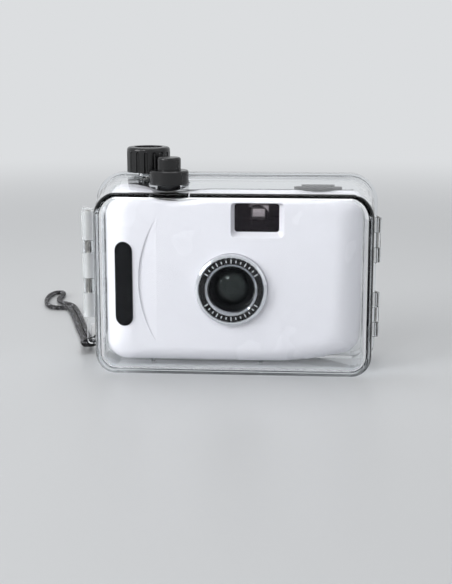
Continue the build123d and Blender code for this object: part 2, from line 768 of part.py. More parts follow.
def film_cavities():
    """Everything that is open in the film body."""
    cut = film_chamber(cartridge_x, cartridge_y, cartridge_radius)
    cut += film_chamber(winding_x, winding_y, take_up_radius)
    cut += film_chamber(sprocket_x, sprocket_y, sprocket_radius + 1.1)
    cone = loft([
        Plane.XZ.offset(-film_plane) * Pos(lens_x, lens_z) * Rectangle(gate_width, gate_height),
        Plane.XZ.offset(-shutter_wall - 1.6) * Pos(lens_x, lens_z) * Rectangle(9.0, 8.0),
    ])
    cut += cone + disc(lens_x, lens_z, 4.0, shutter_wall - 1, shutter_wall + 1.7)
    track_end = cartridge_x - cartridge_radius + 2
    cut += box(sprocket_x, track_end, film_plane, body_back + 1, lens_z - 17.6, lens_z + 17.6)
    groove_start = lens_x - gate_width / 2 + 0.4
    for side in (-1, 1):
        middle = lens_z + side * 14.6
        cut += box(groove_start, track_end - 1, film_plane - 0.5, body_back, middle - 1.1, middle + 1.1)
    cut += box(winding_x - 10, sprocket_x + 8, winding_y - 9, sprocket_y + 4.8, gear_floor, chamber_low - 1.6)
    bay_end, bay_back = dial_x + dial_radius + 1, winding_y + finger_reach + 0.4
    cut += box(winding_x - 10.5, bay_end, winding_y - 9, bay_back, bay_floor, bay_roof)
    for grow_w, grow_h, start in ((0.0, 0.0, face), (0.55, 0.45, camera_back_face - 2.4)):
        half_w, half_h = eyepiece_half_width + grow_w, eyepiece_half_height + grow_h
        cut += box(
            viewfinder_x - half_w, viewfinder_x + half_w, start, camera_back_face + 1,
            eyepiece_z - half_h, eyepiece_z + half_h,
        )
    cut += post(winding_x, winding_y, 3.1, gear_floor, bay_floor + 0.1)
    cut += post(winding_x, winding_y, 1.6, gear_floor - 3, gear_floor + 0.1)
    cut += post(winding_x, winding_y, 4.1, bay_floor, camera_top + 1)
    cut += post(sprocket_x, sprocket_y, 1.6, gear_floor - 1.4, chamber_high + 1.4)
    cut += post(idler_x, idler_y, 1.2, gear_floor - 1.4, gear_floor + 0.1)
    cut += post(idler_x, idler_y, 1.2, chamber_low - 1.7, chamber_low - 0.6)
    cut += post(cartridge_x, cartridge_y, 2.68, chamber_high - 1, camera_top + 1)
    cut += post(release_x, release_y, 1.3, release_stop - 3, release_stop + 1)
    cut += box(dial_x + 1.6, dial_x + 6.8, dial_y - 1.9, dial_y + 1.9, bay_roof - 0.1, camera_top)
    cut += box(dial_x + 1.0, dial_x + 7.4, dial_y - 2.5, dial_y + 2.5, body_top - 1.0, camera_top)
    for x, z in boss_places():
        cut += disc(x, z, 2.25, face + 8, cover_back) + disc(x, z, 1.15, cover_back - 1, body_back)
        cut += disc(x, z, 2.1, body_back - 1.8, camera_back_face + 1)
    return cut


def circle_meeting(x0, y0, r0, x1, y1, r1):
    """The point at r0 from the first place and r1 from the second, on the front side of the line."""
    apart = math.hypot(x1 - x0, y1 - y0)
    along = (r0**2 - r1**2 + apart**2) / (2 * apart)
    off = math.sqrt(max(0.0, r0**2 - along**2))
    ux, uy = (x1 - x0) / apart, (y1 - y0) / apart
    return x0 + along * ux + off * uy, y0 + along * uy - off * ux


idler_x, idler_y = circle_meeting(
    winding_x, winding_y, gear_module * (spool_gear_teeth + idler_gear_teeth) / 2 + mesh_slack,
    sprocket_x, sprocket_y, gear_module * (idler_gear_teeth + sprocket_gear_teeth) / 2 + mesh_slack,
)


def gear(x, y, teeth, first_angle, z0, z1):
    """A spur gear with a tooth centred at first_angle."""
    pitch = gear_module * teeth / 2
    levels = ((pitch - 0.62, 0.62), (pitch, 0.42), (pitch + 0.42, 0.24))
    step = 2 * math.pi / teeth
    points = []
    for i in range(teeth):
        middle = math.radians(first_angle) + i * step
        rising = [(r, -share * step / 2) for r, share in levels]
        falling = [(r, share * step / 2) for r, share in reversed(levels)]
        for r, turn in rising + falling:
            points.append((x + r * math.cos(middle + turn), y + r * math.sin(middle + turn)))
    return Pos(0, 0, z0) * extrude(make_face(Polyline(points, close=True)), z1 - z0)


def angle_of(x0, y0, x1, y1):
    return math.degrees(math.atan2(y1 - y0, x1 - x0))


def gear_phases():
    """Tooth angles of the three gears, so that teeth meet gaps."""
    idler_pitch, sprocket_pitch = 360 / idler_gear_teeth, 360 / sprocket_gear_teeth
    spool = angle_of(winding_x, winding_y, idler_x, idler_y)
    idler = spool + 180 + idler_pitch / 2
    onward = angle_of(idler_x, idler_y, sprocket_x, sprocket_y)
    off = (idler - onward) % idler_pitch
    sprocket = onward + 180 + sprocket_pitch / 2 - off * idler_gear_teeth / sprocket_gear_teeth
    return spool, idler, sprocket


def advance_wheel():
    """The camera's own winding wheel: a knurled rim, a slot across it and a hub through the top."""
    points = []
    notches = 30
    for i in range(notches):
        for share, radius in ((-0.3, 9.0), (0.3, 9.0), (0.4, 8.5), (0.6, 8.5)):
            turn = 2 * math.pi * (i + share) / notches
            points.append((winding_x + radius * math.cos(turn), winding_y + radius * math.sin(turn)))
    wheel = Pos(0, 0, wheel_low) * extrude(make_face(Polyline(points, close=True)), wheel_high - wheel_low)
    wheel += post(winding_x, winding_y, 4.0, bay_roof, wheel_low)
    wheel -= box(winding_x - 12, winding_x + 12, winding_y - 1.1, winding_y + 1.1, wheel_slot, wheel_high + 1)
    return wheel - post(winding_x, winding_y, 2.5, bay_roof - 1, wheel_low)


def counter_finger():
    """A single tooth on the spool's shaft that steps the counter once for each turn."""
    z0, z1 = bay_floor + 1.5, bay_floor + 2.9
    finger = post(winding_x, winding_y, 3.6, z0, z1)
    finger += box(winding_x - finger_reach, winding_x, winding_y - 0.6, winding_y + 0.6, z0, z1)
    return finger - post(winding_x, winding_y, 2.5, z0 - 1, z1 + 1)


def take_up_spool():
    spool = post(winding_x, winding_y, spool_radius, chamber_low + 0.3, chamber_high - 0.3)
    spool -= post(winding_x, winding_y, spool_radius - 1.6, chamber_low + 2, chamber_high - 2)
    for angle in range(0, 360, 90):
        slot = box(spool_radius - 3, spool_radius + 1, -0.9, 0.9, -15, 15)
        spool -= Pos(winding_x, winding_y, lens_z) * Rot(0, 0, angle) * slot
    spool += post(winding_x, winding_y, 3.0, gear_high, chamber_low + 0.3)
    spool += post(winding_x, winding_y, 3.0, chamber_high - 0.3, bay_floor)
    spool += post(winding_x, winding_y, 2.5, bay_floor, wheel_low)
    return spool + post(winding_x, winding_y, 1.5, gear_floor - 1.4, gear_high)


def spool_gear():
    wheel = gear(winding_x, winding_y, spool_gear_teeth, gear_phases()[0], gear_low, gear_high)
    return wheel - post(winding_x, winding_y, 1.5, gear_low - 1, gear_high + 1)


def idler_gear():
    wheel = gear(idler_x, idler_y, idler_gear_teeth, gear_phases()[1], gear_low, gear_high)
    return wheel + post(idler_x, idler_y, 1.1, gear_floor - 1.2, chamber_low - 0.8)


def film_sprocket():
    """Two rings of film teeth on one shaft, with their gear below."""
    shaft = post(sprocket_x, sprocket_y, 1.5, gear_floor - 1.2, chamber_high + 1.2)
    body = post(sprocket_x, sprocket_y, 3.2, chamber_low + 0.4, chamber_high - 0.4)
    for row in (-1, 1):
        middle = lens_z + row * 14.1
        body += post(sprocket_x, sprocket_y, sprocket_radius, middle - 1.4, middle + 1.4)
        for i in range(sprocket_teeth):
            tooth = box(sprocket_radius - 0.5, sprocket_radius + 0.8, -0.6, 0.6, middle - 0.8, middle + 0.8)
            body += Pos(sprocket_x, sprocket_y, 0) * Rot(0, 0, 360 / sprocket_teeth * i) * tooth
    wheel = gear(sprocket_x, sprocket_y, sprocket_gear_teeth, gear_phases()[2], gear_low, gear_high)
    return shaft + body + wheel


def counter_dial():
    """A numbered disc with fine teeth under it, turning on a post."""
    z0 = bay_floor + 1.5
    points = []
    for i in range(dial_teeth):
        for share, radius in ((-0.25, dial_radius - 0.7), (0.0, dial_radius), (0.25, dial_radius - 0.7)):
            turn = 2 * math.pi * (i + share) / dial_teeth
            points.append((dial_x + radius * math.cos(turn), dial_y + radius * math.sin(turn)))
    dial = Pos(0, 0, z0) * extrude(make_face(Polyline(points, close=True)), 1.4)
    dial += post(dial_x, dial_y, dial_radius, z0 + 1.4, z0 + 2.6)
    return dial - post(dial_x, dial_y, 1.3, z0 - 1, z0 + 4)


def dial_post():
    step = post(dial_x, dial_y, 2.2, bay_floor, bay_floor + 1.4)
    return step + post(dial_x, dial_y, 1.2, bay_floor, bay_roof)


def counter_window():
    return box(dial_x + 1.05, dial_x + 7.35, dial_y - 2.45, dial_y + 2.45, body_top - 1.0, body_top)


def rewind_knob():
    """A flat disc with a raised grip bar across it."""
    low = rewind_low
    knob = post(cartridge_x, cartridge_y, rewind_radius, low, low + 1.0)
    bar = Pos(cartridge_x, cartridge_y) * box(-rewind_bar, rewind_bar, -1.3, 1.3, low + 1.0, low + 1.8)
    bar = fillet(bar.edges().filter_by(Axis.Z), 1.2)
    return knob + bar - post(cartridge_x, cartridge_y, 2.6, low - 1, low + 0.8)


def rewind_fork():
    """The shaft under the rewind knob, with two prongs that fit the cartridge's spool."""
    shaft = post(cartridge_x, cartridge_y, 2.6, chamber_high - 1.4, rewind_low + 0.8)
    fork = post(cartridge_x, cartridge_y, 2.6, chamber_high - 5.0, chamber_high - 1.4)
    fork -= Pos(cartridge_x, cartridge_y) * box(-3, 3, -1.1, 1.1, chamber_high - 6, chamber_high - 2.6)
    return shaft + fork


def release_button():
    top = camera_top - 0.3
    button = post(release_x, release_y, release_radius, camera_top - 5.2, top)
    button = fillet(button.edges().sort_by(Axis.Z)[-1], 0.8)
    button += post(release_x, release_y, release_radius + 1.0, camera_top - 5.2, camera_top - 3.9)
    return button + post(release_x, release_y, 1.2, release_stop - 1.8, camera_top - 5.2)


def release_spring():
    return coil(release_x, release_y, 2.4, 0.25, release_stop + 0.02, camera_top - 5.22, 3)


def door_outline(inset):
    """The camera's outline below the door's top and up to its hinge pin, moved inwards."""
    left, right = -camera_width, door_pin_x - inset
    low, high = 0, door_top - 0.2 - inset
    window = Pos((left + right) / 2, (low + high) / 2) * Rectangle(right - left, high - low)
    return camera_outline(inset, inset, inset) & window


def camera_back():
    """The camera's own back, with a pocket for the pressure plate's spring and hinge knuckles at +X."""
    door = slab(door_outline(0), door_front, camera_back_face - 0.7)
    door += slab(door_outline(0.6), camera_back_face - 0.8, camera_back_face)
    door += post(door_pin_x, door_pin_y, door_knuckle, door_lugs[0][1] + 0.3, door_lugs[1][0] - 0.3)
    for low, high in door_lugs:
        notch = (door_pin_x - door_knuckle - 0.3, camera_half + 2, door_front - 1, camera_back_face + 1)
        door -= box(*notch, low - 0.3, high + 0.3)
    door -= post(door_pin_x, door_pin_y, door_pin_radius + running_clearance, 0, camera_top)
    door -= box(lens_x - 23, lens_x + 22.6, door_front - 1, door_front + 1.7, lens_z - 18.6, lens_z + 18.6)
    return door


def back_lugs():
    """The film body's half of the back's hinge."""
    lugs = None
    for low, high in door_lugs:
        lug_part = post(door_pin_x, door_pin_y, door_knuckle, low, high)
        lug_part += Pos(door_pin_x) * box(-door_knuckle, door_knuckle, body_back - 1, door_pin_y, low, high)
        lugs = lug_part if lugs is None else lugs + lug_part
    return lugs - post(door_pin_x, door_pin_y, door_pin_radius, 0, camera_top)


def back_hinge_pin():
    return post(door_pin_x, door_pin_y, door_pin_radius, door_lugs[0][0] + 0.5, door_lugs[1][1] - 0.5)


def pressure_plate():
    plate = Pos(lens_x, film_plane, lens_z) * box(-20, 19.6, 0.25, 1.15, -16.8, 16.8)
    return fillet(plate.edges().filter_by(Axis.Y), 1.5)


def pressure_spring():
    """A bowed leaf between the back and the pressure plate."""
    flat, crown = film_plane + 1.17, door_front + 1.66
    thick = 0.3
    half = 15.0
    outer = ThreePointArc((lens_x - half, flat + thick), (lens_x, crown), (lens_x + half, flat + thick))
    inner = ThreePointArc((lens_x - half, flat), (lens_x, crown - thick), (lens_x + half, flat))
    profile = make_face([
        outer, inner,
        Line((lens_x - half, flat + thick), (lens_x - half, flat)),
        Line((lens_x + half, flat + thick), (lens_x + half, flat)),
    ])
    return Pos(0, 0, lens_z - 5) * extrude(profile, 10)


def cover_screws():
    """Four screws from the back, through the film body into the front cover."""
    screws = []
    for x, z in boss_places():
        head = disc(x, z, 1.9, body_back - 1.8, body_back - 0.5)
        head -= box(x - 2, x + 2, body_back - 0.9, body_back, z - 0.25, z + 0.25)
        screws.append(head + disc(x, z, 0.9, cover_back - 6, body_back - 1.8))
    return screws


# The strap's routes, as steps across and back from the lug, and heights over the table.
string_route = [
    (-3.53, 9.79, 5.2), (-2.8, 6.8, 6.0), (-1.1, 4.2, 8.6), (0.0, 3.2, 10.9), (0.0, -3.7, 10.9),
    (-4.4, -3.8, 10.3), (-6.1, 0.6, 8.3), (-6.5, 5.0, 6.2), (-5.47, 9.29, 5.2),
]
strap_route = [
    (-8.25, 17.98, 3.38), (-12.3, 35.5, 1.45), (-17.5, 52.0, 1.45), (-23.0, 72.0, 1.45), (-29.1, 92.5, 1.45),
    (-33.5, 104.5, 1.45), (-40.0, 101.5, 1.45), (-46.0, 108.5, 1.45), (-49.5, 122.0, 1.45),
    (-50.5, 136.0, 1.45), (-48.4, 144.0, 1.45), (-43.9, 144.0, 1.45), (-42.6, 136.0, 1.45),
    (-43.6, 125.0, 1.45), (-39.5, 115.2, 1.45),
    (-31.9, 110.2, 1.45), (-26.1, 93.5, 1.45), (-20.0, 73.0, 1.45), (-14.5, 53.0, 1.45), (-9.3, 36.5, 1.45),
    (-5.25, 18.76, 3.38),
]
crimp_middle = (-5.6, 13.9, 4.3)
crimp_way = (-0.24, 0.95, -0.2)


def from_lug(x, y, z):
    return lug_x + x, lug_y + y, z


def cord_radii(points):
    """The largest arc that each corner's two runs allow."""
    radii = []
    for before, here, after in zip(points, points[1:], points[2:]):
        into = Vector(*here) - Vector(*before)
        out = Vector(*after) - Vector(*here)
        turn = into.get_angle(out)
        radii.append(0.45 * min(into.length, out.length) / math.tan(math.radians(turn) / 2))
    return radii


def cord(route, radius, name):
    """A round cord along straight runs joined by arcs."""
    points = [from_lug(*place) for place in route]
    radii = cord_radii(points)
    print(name, "arc radii", [round(r, 1) for r in radii])
    path = FilletPolyline(*points, radius=radii)
    section = Plane(path @ 0, z_dir=path % 0) * Circle(radius)
    tube = sweep(section, path=path)
    print(name, "length", round(path.length, 1))
    return tube


def strap_string():
    return cord(string_route, string_radius, "string")


def strap_loop():
    return cord(strap_route, strap_radius, "strap")


def strap_crimp():
    """A flattened tube that holds the string and both ends of the strap."""
    plane = Plane(from_lug(*crimp_middle), x_dir=(crimp_way[1], -crimp_way[0], 0), z_dir=crimp_way)
    section = SlotOverall(4 * strap_radius + 1.4, 2 * strap_radius + 1.0)
    tube = extrude(plane * section, crimp_length / 2, both=True)
    ends = tube.faces().sort_by(Axis.Y)[0].edges() + tube.faces().sort_by(Axis.Y)[-1].edges()
    return chamfer(ends, 0.4)


parts = {
    "housing_front_shell": housing_front_shell,
    "housing_back_shell": housing_back_shell,
    "housing_gasket": housing_gasket,
    "hinge_pins": hinge_pins,
    "latch_lever": latch_lever,
    "latch_pin": latch_pin,
    "winding_knob": winding_knob,
    "winding_shaft": winding_shaft,
    "winding_dog": winding_dog,
    "winding_seal": winding_seal,
    "shutter_collar": shutter_collar,
    "shutter_cap": shutter_cap,
    "plunger_shaft": plunger_shaft,
    "plunger_clip": plunger_clip,
    "plunger_spring": plunger_spring,
    "shutter_seal": shutter_seal,
    "front_cover": front_cover,
    "grip_insert": grip_insert,
    "lens_bezel": lens_bezel,
    "lens_ring": lens_ring,
    "lens_cup": lens_cup,
    "front_lens": front_lens,
    "lens_board": lens_board,
    "shutter_blade": shutter_blade,
    "shutter_pin": shutter_pin,
    "rear_lens": rear_lens,
    "viewfinder_window": viewfinder_window,
    "viewfinder_tube": viewfinder_tube,
    "viewfinder_eyepiece": viewfinder_eyepiece,
    "film_body": film_body,
    "advance_wheel": advance_wheel,
    "counter_finger": counter_finger,
    "take_up_spool": take_up_spool,
    "spool_gear": spool_gear,
    "idler_gear": idler_gear,
    "film_sprocket": film_sprocket,
    "counter_dial": counter_dial,
    "counter_window": counter_window,
    "rewind_knob": rewind_knob,
    "rewind_fork": rewind_fork,
    "release_button": release_button,
    "release_spring": release_spring,
    "camera_back": camera_back,
    "back_hinge_pin": back_hinge_pin,
    "pressure_plate": pressure_plate,
    "pressure_spring": pressure_spring,
    "cover_screws": cover_screws,
    "strap_string": strap_string,
    "strap_crimp": strap_crimp,
    "strap_loop": strap_loop,
}

os.makedirs("parts", exist_ok=True)
for name, make in parts.items():
    made = make()
    solids = made if isinstance(made, list) else [made]
    solids = [s for shape in solids for s in shape.solids()]
    export_step(Compound(solids) if len(solids) > 1 else solids[0], f"parts/{name}.step")
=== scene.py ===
import json
import math

import bmesh
import bpy
from mathutils import Matrix, Vector

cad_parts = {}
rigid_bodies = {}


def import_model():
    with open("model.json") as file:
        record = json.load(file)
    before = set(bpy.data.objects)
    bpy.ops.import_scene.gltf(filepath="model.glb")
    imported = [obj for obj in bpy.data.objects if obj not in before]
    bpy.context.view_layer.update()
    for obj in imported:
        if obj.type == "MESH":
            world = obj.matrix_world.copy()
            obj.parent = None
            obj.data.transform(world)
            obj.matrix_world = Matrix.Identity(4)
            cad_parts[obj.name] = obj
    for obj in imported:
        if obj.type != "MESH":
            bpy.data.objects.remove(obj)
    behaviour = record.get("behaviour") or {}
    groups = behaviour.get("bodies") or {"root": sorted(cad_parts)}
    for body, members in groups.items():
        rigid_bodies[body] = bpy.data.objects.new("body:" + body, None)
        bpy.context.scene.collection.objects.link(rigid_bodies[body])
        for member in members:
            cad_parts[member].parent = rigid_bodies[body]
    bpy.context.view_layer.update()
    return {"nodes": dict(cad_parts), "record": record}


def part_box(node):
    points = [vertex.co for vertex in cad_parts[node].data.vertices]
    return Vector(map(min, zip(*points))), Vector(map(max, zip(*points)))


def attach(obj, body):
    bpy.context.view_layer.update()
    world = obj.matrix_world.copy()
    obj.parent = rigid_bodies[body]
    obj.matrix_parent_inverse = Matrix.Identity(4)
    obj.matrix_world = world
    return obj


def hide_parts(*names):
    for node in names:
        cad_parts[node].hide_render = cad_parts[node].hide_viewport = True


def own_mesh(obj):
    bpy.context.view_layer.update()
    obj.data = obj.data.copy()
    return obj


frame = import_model()
nodes = frame["nodes"]
mm = 0.001
print("frame loaded")


def hexColour(code):
    # sRGB hex to linear, as the shader sockets want it
    parts = [int(code[i:i + 2], 16) / 255 for i in (0, 2, 4)]
    linear = [c / 12.92 if c <= 0.04045 else ((c + 0.055) / 1.055) ** 2.4 for c in parts]
    return (*linear, 1.0)


def addNode(tree, kind, settings=None, inputs=None):
    # one node with its settings, and for each named input a fixed value or the output that feeds it
    node = tree.nodes.new(kind)
    for name, value in (settings or {}).items():
        setattr(node, name, value)
    for name, value in (inputs or {}).items():
        if isinstance(value, bpy.types.NodeSocket):
            tree.links.new(value, node.inputs[name])
        else:
            node.inputs[name].default_value = value
    return node


def workOut(tree, values, rows):
    # sums in a node tree: each row has its result's name, what is done, and the values or numbers for it
    for result, operation, *terms in rows:
        inputs = {i: values.get(term, term) for i, term in enumerate(terms)}
        values[result] = addNode(tree, "ShaderNodeMath", {"operation": operation}, inputs).outputs[0]


def frontCentre(name):
    # the middle of a node's front, which faces the camera
    low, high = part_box(name)
    return Vector(((low.x + high.x) / 2, low.y, (low.z + high.z) / 2))


# Camera, where the photograph was taken from, so that the lens falls on the same pixel

camera = {
    "azimuth": 4.0,          # degrees that the viewer stands towards +X
    "elevation": 11.4,       # degrees above the lens
    "distance": 0.512,       # metres from the lens's front
    "focalPixels": 1193.5,   # at the photograph's width
    "imageWidth": 452,
    "lensPixel": (231.05, 290.26),
    "middlePixel": (226.0, 292.0),
    "nearestSeen": 0.01,     # metres
}


def placeCamera():
    azimuth, elevation = math.radians(camera["azimuth"]), math.radians(camera["elevation"])
    level = math.cos(elevation)
    back = Vector((math.sin(azimuth) * level, -math.cos(azimuth) * level, math.sin(elevation)))
    right = Vector((math.cos(azimuth), math.sin(azimuth), 0))
    up = back.cross(right)
    pixel = camera["distance"] / camera["focalPixels"]       # metres that one pixel covers at the lens
    across = (camera["lensPixel"][0] - camera["middlePixel"][0]) * pixel
    rise = (camera["middlePixel"][1] - camera["lensPixel"][1]) * pixel
    eye = frontCentre("lens_bezel") + back * camera["distance"] - right * across - up * rise
    data = bpy.data.cameras.new("viewCamera")
    data.sensor_fit = "HORIZONTAL"
    data.lens = data.sensor_width * camera["focalPixels"] / camera["imageWidth"]
    data.clip_start = camera["nearestSeen"]
    obj = bpy.data.objects.new("viewCamera", data)
    obj.matrix_world = Matrix.Translation(eye) @ Matrix((right, up, back)).transposed().to_4x4()
    bpy.context.collection.objects.link(obj)
    bpy.context.scene.camera = obj


placeCamera()
print("camera placed")


# Materials: first how each kind of surface is made, then each real one with its look

noiseSpan = {"From Min": 0.3, "From Max": 0.7}      # nearly all of a noise texture's values lie between these


def newMaterial(name, values):
    # a material with one shader, whose fixed values go straight on its sockets
    material = bpy.data.materials.new(name)
    material.use_nodes = True
    tree = material.node_tree
    tree.nodes.clear()
    shader = addNode(tree, "ShaderNodeBsdfPrincipled", None, values)
    addNode(tree, "ShaderNodeOutputMaterial", None, {"Surface": shader.outputs[0]})
    return material, tree, shader


def lampsThrough(tree, shader, colour):
    # clear pieces cast no dark shadow on what stands behind them
    rays = addNode(tree, "ShaderNodeLightPath").outputs
    clear = addNode(tree, "ShaderNodeBsdfTransparent", None, {"Color": hexColour(colour)})
    mix = addNode(tree, "ShaderNodeMixShader", None, {
        0: rays["Is Shadow Ray"], 1: shader.outputs[0], 2: clear.outputs[0],
    })
    tree.links.new(mix.outputs[0], tree.nodes["Material Output"].inputs["Surface"])


def grainField(tree, size, detail, stretch=(1, 1, 1)):
    # noise whose features are about size metres wide, fixed to the piece
    place = addNode(tree, "ShaderNodeTexCoord").outputs["Object"]
    scaled = addNode(tree, "ShaderNodeMapping", None, {"Vector": place, "Scale": stretch})
    values = {"Vector": scaled.outputs[0], "Scale": 1 / size, "Detail": detail}
    return addNode(tree, "ShaderNodeTexNoise", None, values).outputs["Fac"]


def unevenFinish(tree, shader, field, look):
    # the surface drifts between the look's two colours, and between its two roughnesses
    share = addNode(tree, "ShaderNodeMapRange", None, {"Value": field, **noiseSpan})
    first, second = look["colours"]
    colour = addNode(tree, "ShaderNodeMix", {"data_type": "RGBA"}, {
        0: share.outputs[0], 6: hexColour(first), 7: hexColour(second),     # the colour mix's own inputs
    })
    smooth, rough = look["roughness"]
    gloss = addNode(tree, "ShaderNodeMapRange", None, {
        "Value": field, **noiseSpan, "To Min": smooth, "To Max": rough,
    })
    tree.links.new(colour.outputs[2], shader.inputs["Base Color"])
    tree.links.new(gloss.outputs[0], shader.inputs["Roughness"])


def mouldedPlastic(name, look):
    # injection moulded: the mould's fine grain, and a gloss that drifts as the plastic cooled unevenly
    material, tree, shader = newMaterial(name, {
        "IOR": look["ior"],
        "Specular IOR Level": look["specular"],
        "Coat Weight": look["coat"],
        "Coat Roughness": look["coatRoughness"],
    })
    unevenFinish(tree, shader, grainField(tree, look["cloudSize"], 3), look)
    bump = addNode(tree, "ShaderNodeBump", None, {
        "Strength": 1.0, "Distance": look["depth"], "Height": grainField(tree, look["grain"], 2),
    })
    tree.links.new(bump.outputs[0], shader.inputs["Normal"])
    return material


def clearPlastic(name, look):
    # moulded in a polished tool: clear, with hard reflections and faint rubs from handling in its gloss
    material, tree, shader = newMaterial(name, {
        "IOR": look["ior"],
        "Transmission Weight": look["clearness"],
        "Specular Tint": hexColour(look["reflection"]),
        "Base Color": hexColour(look["colour"]),
    })
    lampsThrough(tree, shader, look["colour"])
    smooth, rough = look["roughness"]
    gloss = addNode(tree, "ShaderNodeMapRange", None, {
        "Value": grainField(tree, look["rubSize"], 4, look["stretch"]), **noiseSpan,
        "To Min": smooth, "To Max": rough,
    })
    tree.links.new(gloss.outputs[0], shader.inputs["Roughness"])
    return material


def metal(name, look):
    # bare or plated metal: a mirror broken up by the lines or waves that its making left
    material, tree, shader = newMaterial(name, {"Metallic": 1.0})
    unevenFinish(tree, shader, grainField(tree, look["lineSize"], 3, look["stretch"]), look)
    return material


def coatedLens(name, look):
    # a polished lens or window whose coating tints its reflection
    material, tree, shader = newMaterial(name, {
        "IOR": look["ior"],
        "Transmission Weight": 1.0,
        "Roughness": look["roughness"],
        "Specular Tint": hexColour(look["reflection"]),
        "Base Color": hexColour(look["colour"]),
    })
    lampsThrough(tree, shader, look["colour"])
    return material


def platedPlastic(name, look):
    # polished plastic that is plated up to, or from, a circle round the lens
    material, tree, shader = newMaterial(name, {"IOR": look["ior"], "Roughness": look["roughness"]})
    place = addNode(tree, "ShaderNodeTexCoord").outputs["Object"]
    centred = addNode(tree, "ShaderNodeMapping", None, {
        "Vector": place, "Location": -frontCentre("lens_ring"),
    })
    flat = addNode(tree, "ShaderNodeVectorMath", {"operation": "MULTIPLY"}, {
        0: centred.outputs[0], 1: (1, 0, 1),
    })
    reach = addNode(tree, "ShaderNodeVectorMath", {"operation": "LENGTH"}, {0: flat.outputs[0]})
    inside, outside = look["platedShares"]
    plated = addNode(tree, "ShaderNodeMapRange", None, {
        "Value": reach.outputs["Value"],
        "From Min": look["platedRadius"] - look["softEdge"],
        "From Max": look["platedRadius"] + look["softEdge"],
        "To Min": inside,
        "To Max": outside,
    }).outputs[0]
    colour = addNode(tree, "ShaderNodeMix", {"data_type": "RGBA"}, {
        0: plated, 6: hexColour(look["colour"]), 7: hexColour(look["plating"]),
    })
    tree.links.new(plated, shader.inputs["Metallic"])
    tree.links.new(colour.outputs[2], shader.inputs["Base Color"])
    return material


# The shells are acrylic, injection moulded in a polished tool: clear, with sharp reflections. These are
# darkened, because bright ones lay a grey veil over the black parts inside, which the photograph shows deep
shellLook = {
    "ior": 1.49,
    "clearness": 1.0,
    "colour": "FCFDFE",
    "reflection": "50545A",
    "rubSize": 5 * mm,
    "stretch": (1, 1, 2.2),
    "roughness": (0.01, 0.04),
}
clearAcrylic = clearPlastic("mouldedClearAcrylic", shellLook)

# The latch is polycarbonate, which bends without cracking: moulded, brighter at its edges, slightly milky
latchLook = {
    "ior": 1.58,
    "clearness": 0.72,
    "colour": "F8FAFB",
    "reflection": "FFFFFF",
    "rubSize": 3 * mm,
    "stretch": (1, 1, 0.5),
    "roughness": (0.03, 0.08),
}
clearPolycarbonate = clearPlastic("mouldedPolycarbonate", latchLook)

# What the moulded plastics share, unless their look says otherwise. Real mould grain is about 0.1 mm and
# wouldn't show, so each grain is drawn coarser
mouldedLook = {"ior": 1.52, "specular": 0.5, "coat": 0.0, "coatRoughness": 0.08, "cloudSize": 9 * mm}

# The front cover is white ABS from a polished tool: even, with a soft gloss over its colour
coverLook = {
    **mouldedLook,
    "colours": ("EDECF1", "EEEDF2"),
    "roughness": (0.25, 0.28),
    "coat": 0.2,
    "cloudSize": 30 * mm,
    "grain": 0.5 * mm,
    "depth": 0.001 * mm,
}
whiteAbs = mouldedPlastic("polishedWhiteAbs", coverLook)

# The knobs are black ABS with a spark-eroded grain, which breaks their highlights up a little
knobLook = {
    **mouldedLook,
    "colours": ("08080A", "0C0C0E"),
    "roughness": (0.2, 0.27),
    "grain": 0.35 * mm,
    "depth": 0.012 * mm,
}
grainedAbs = mouldedPlastic("grainedBlackAbs", knobLook)

# The film body and its inner parts are black ABS with a matt grain, so that no light strays in them
bodyLook = {
    **mouldedLook,
    "colours": ("0A0A0C", "0F0F11"),
    "specular": 0.3,
    "roughness": (0.5, 0.62),
    "grain": 0.3 * mm,
    "depth": 0.02 * mm,
}
mattAbs = mouldedPlastic("mattBlackAbs", bodyLook)

# The grip insert and the viewfinder's tube are black ABS from a polished tool: deep black, small highlights
insertLook = {
    **mouldedLook,
    "colours": ("050506", "070709"),
    "specular": 0.14,
    "roughness": (0.06, 0.12),
    "grain": 0.8 * mm,
    "depth": 0.001 * mm,
}
polishedAbs = mouldedPlastic("polishedBlackAbs", insertLook)

# The seals are silicone rubber, moulded without pigment: pale and dull
sealLook = {
    **mouldedLook,
    "ior": 1.41,
    "colours": ("C9CCCF", "D2D5D8"),
    "roughness": (0.45, 0.6),
    "grain": 0.3 * mm,
    "depth": 0.01 * mm,
}
silicone = mouldedPlastic("mouldedSilicone", sealLook)

# The counter's dial is ivory polystyrene, moulded thin: pale and nearly matt, for reading
dialLook = {
    **mouldedLook,
    "colours": ("EDECE6", "E6E5DF"),
    "roughness": (0.4, 0.5),
    "grain": 0.4 * mm,
    "depth": 0.005 * mm,
}
ivoryPolystyrene = mouldedPlastic("mouldedIvoryPolystyrene", dialLook)

# The marks round the lens are silver ink, printed with a pad: pale grey with no sparkle
markLook = {
    **mouldedLook,
    "colours": ("C6C7CC", "CECFD4"),
    "roughness": (0.35, 0.45),
    "grain": 0.3 * mm,
    "depth": 0.001 * mm,
}
silverInk = mouldedPlastic("printedSilverInk", markLook)

# The bezel is chrome plated over a moulding: a clear mirror with very slight waves
bezelLook = {
    "colours": ("EBECEF", "E0E1E5"),
    "roughness": (0.05, 0.1),
    "lineSize": 2 * mm,
    "stretch": (1, 1, 1),
}
platedChrome = metal("platedChrome", bezelLook)

# Pins, shafts, screws and springs are stainless steel, drawn to wire or rod: fine lines along its length
steelLook = {
    "colours": ("B9B7B3", "A9A7A3"),
    "roughness": (0.2, 0.34),
    "lineSize": 0.6 * mm,
    "stretch": (1, 1, 0.1),
}
drawnSteel = metal("drawnStainlessSteel", steelLook)

